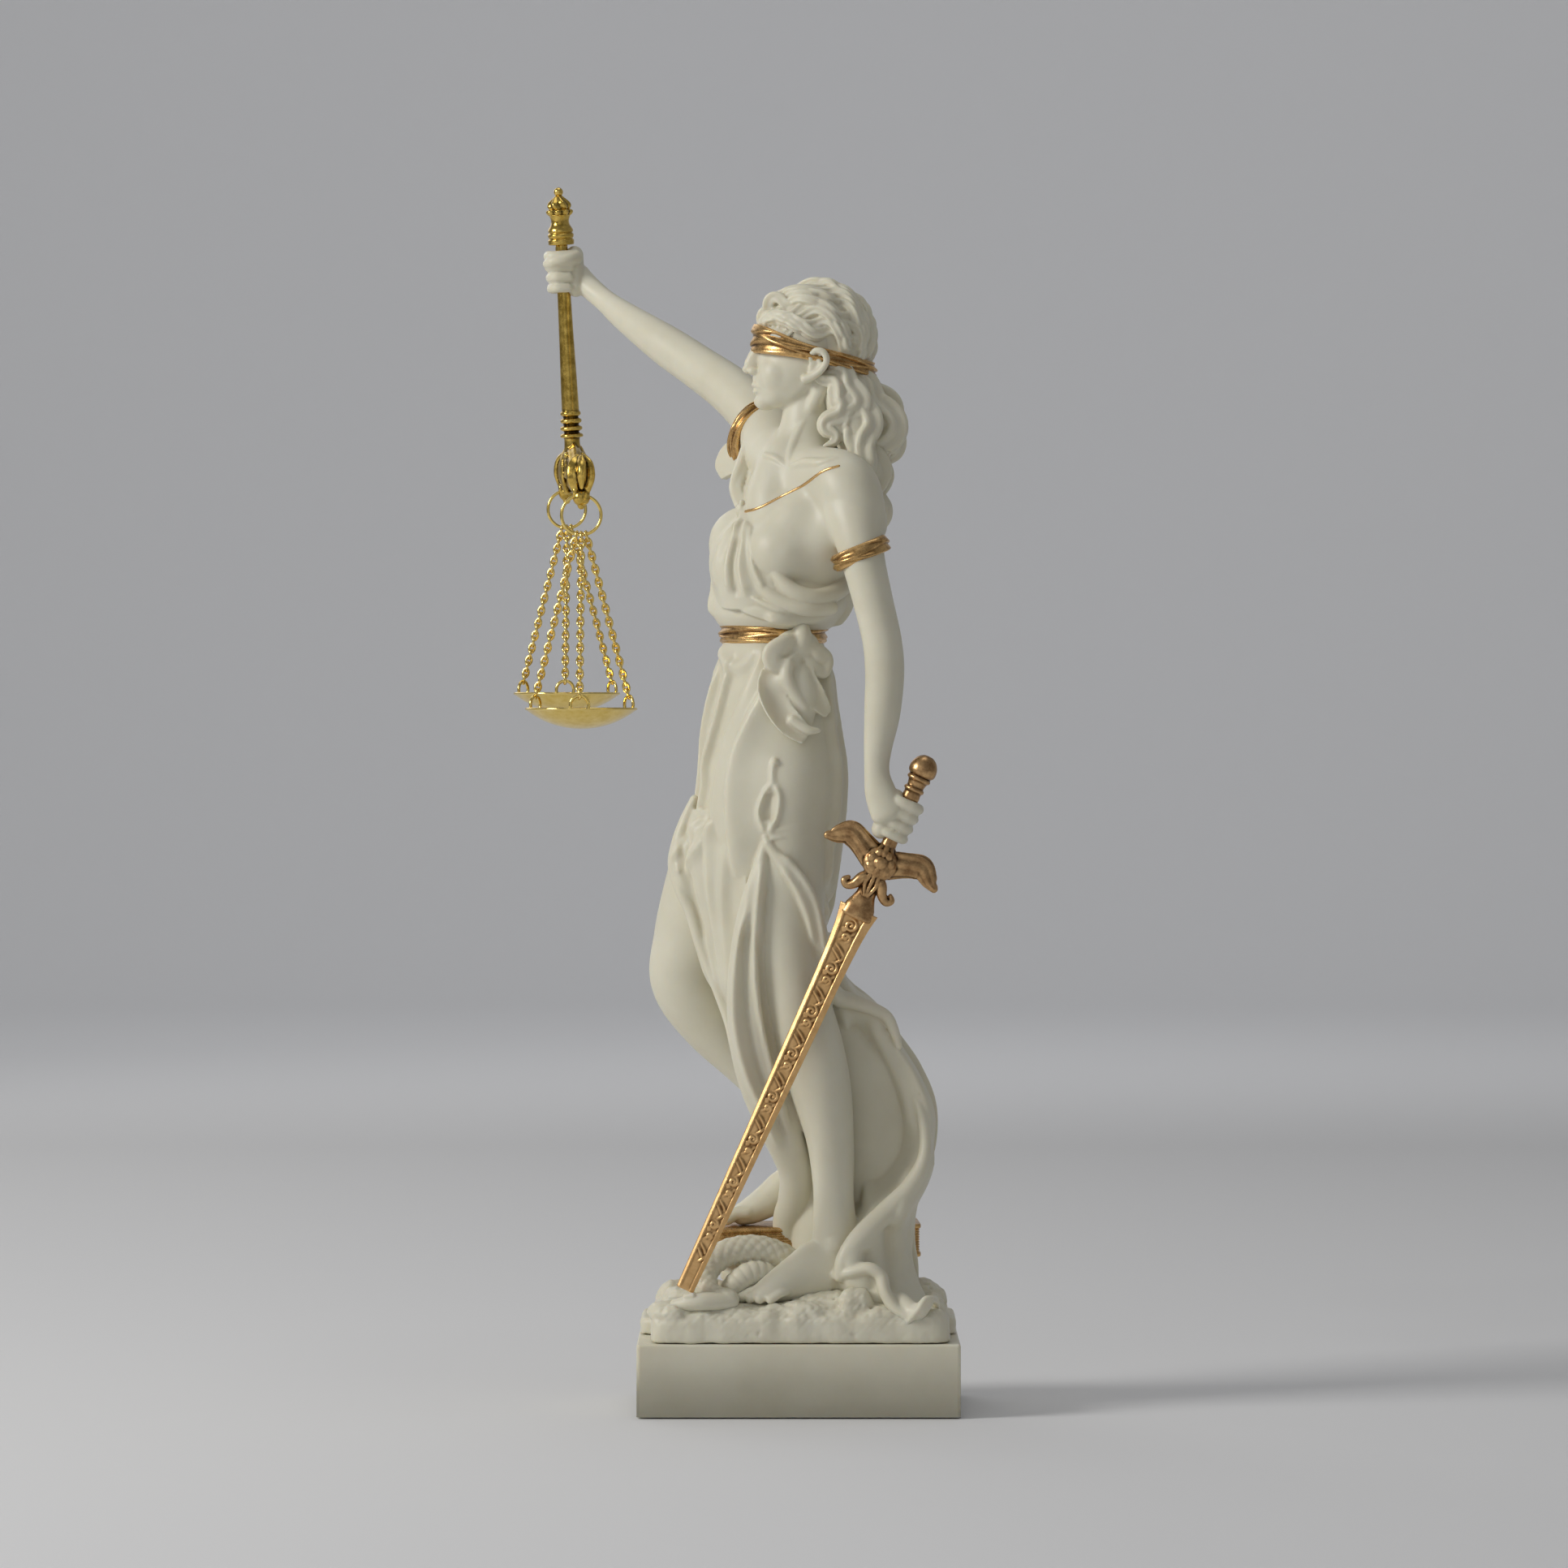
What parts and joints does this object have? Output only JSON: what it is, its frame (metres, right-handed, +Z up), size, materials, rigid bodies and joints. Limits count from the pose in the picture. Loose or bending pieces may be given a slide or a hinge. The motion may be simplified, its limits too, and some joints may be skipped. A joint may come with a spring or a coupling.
{
  "type": "lady justice statue",
  "caption": "Cast table statue of a blindfolded, draped Justice raising a beam scale and resting a sword on a rock, over a snake and a book, on a block plinth.",
  "frame": {"origin": "centre of the plinth's underside, on the table", "axes": "+Z up, along the object's longest extent; +X to the right and +Y away from the viewer as the picture sees it, so the figure's face looks along -X and the raised arm reaches towards -X and +Y"},
  "size_m": [0.1149, 0.1728, 0.3063],
  "materials": {
    "cast_resin": "off-white cast marble resin, satin",
    "copper_gold": "antique copper-gold, worn and burnished",
    "old_brass": "dark antique brass, polished on the high places",
    "bright_brass": "bright polished gold plate"
  },
  "bodies": {
    "root": {"plinth": "cast_resin", "figure": "cast_resin", "sword": "copper_gold", "staff_and_beam": "old_brass", "finial": "old_brass", "ring_near": "bright_brass", "ring_far": "bright_brass", "chain_near_1": "bright_brass", "chain_near_2": "bright_brass", "chain_near_3": "bright_brass", "chain_far_1": "bright_brass", "chain_far_2": "bright_brass", "chain_far_3": "bright_brass", "pan_near": "bright_brass", "pan_far": "bright_brass", "hook_near_1": "bright_brass", "hook_near_2": "bright_brass", "hook_near_3": "bright_brass", "hook_far_1": "bright_brass", "hook_far_2": "bright_brass", "hook_far_3": "bright_brass"}
  },
  "joints": []
}
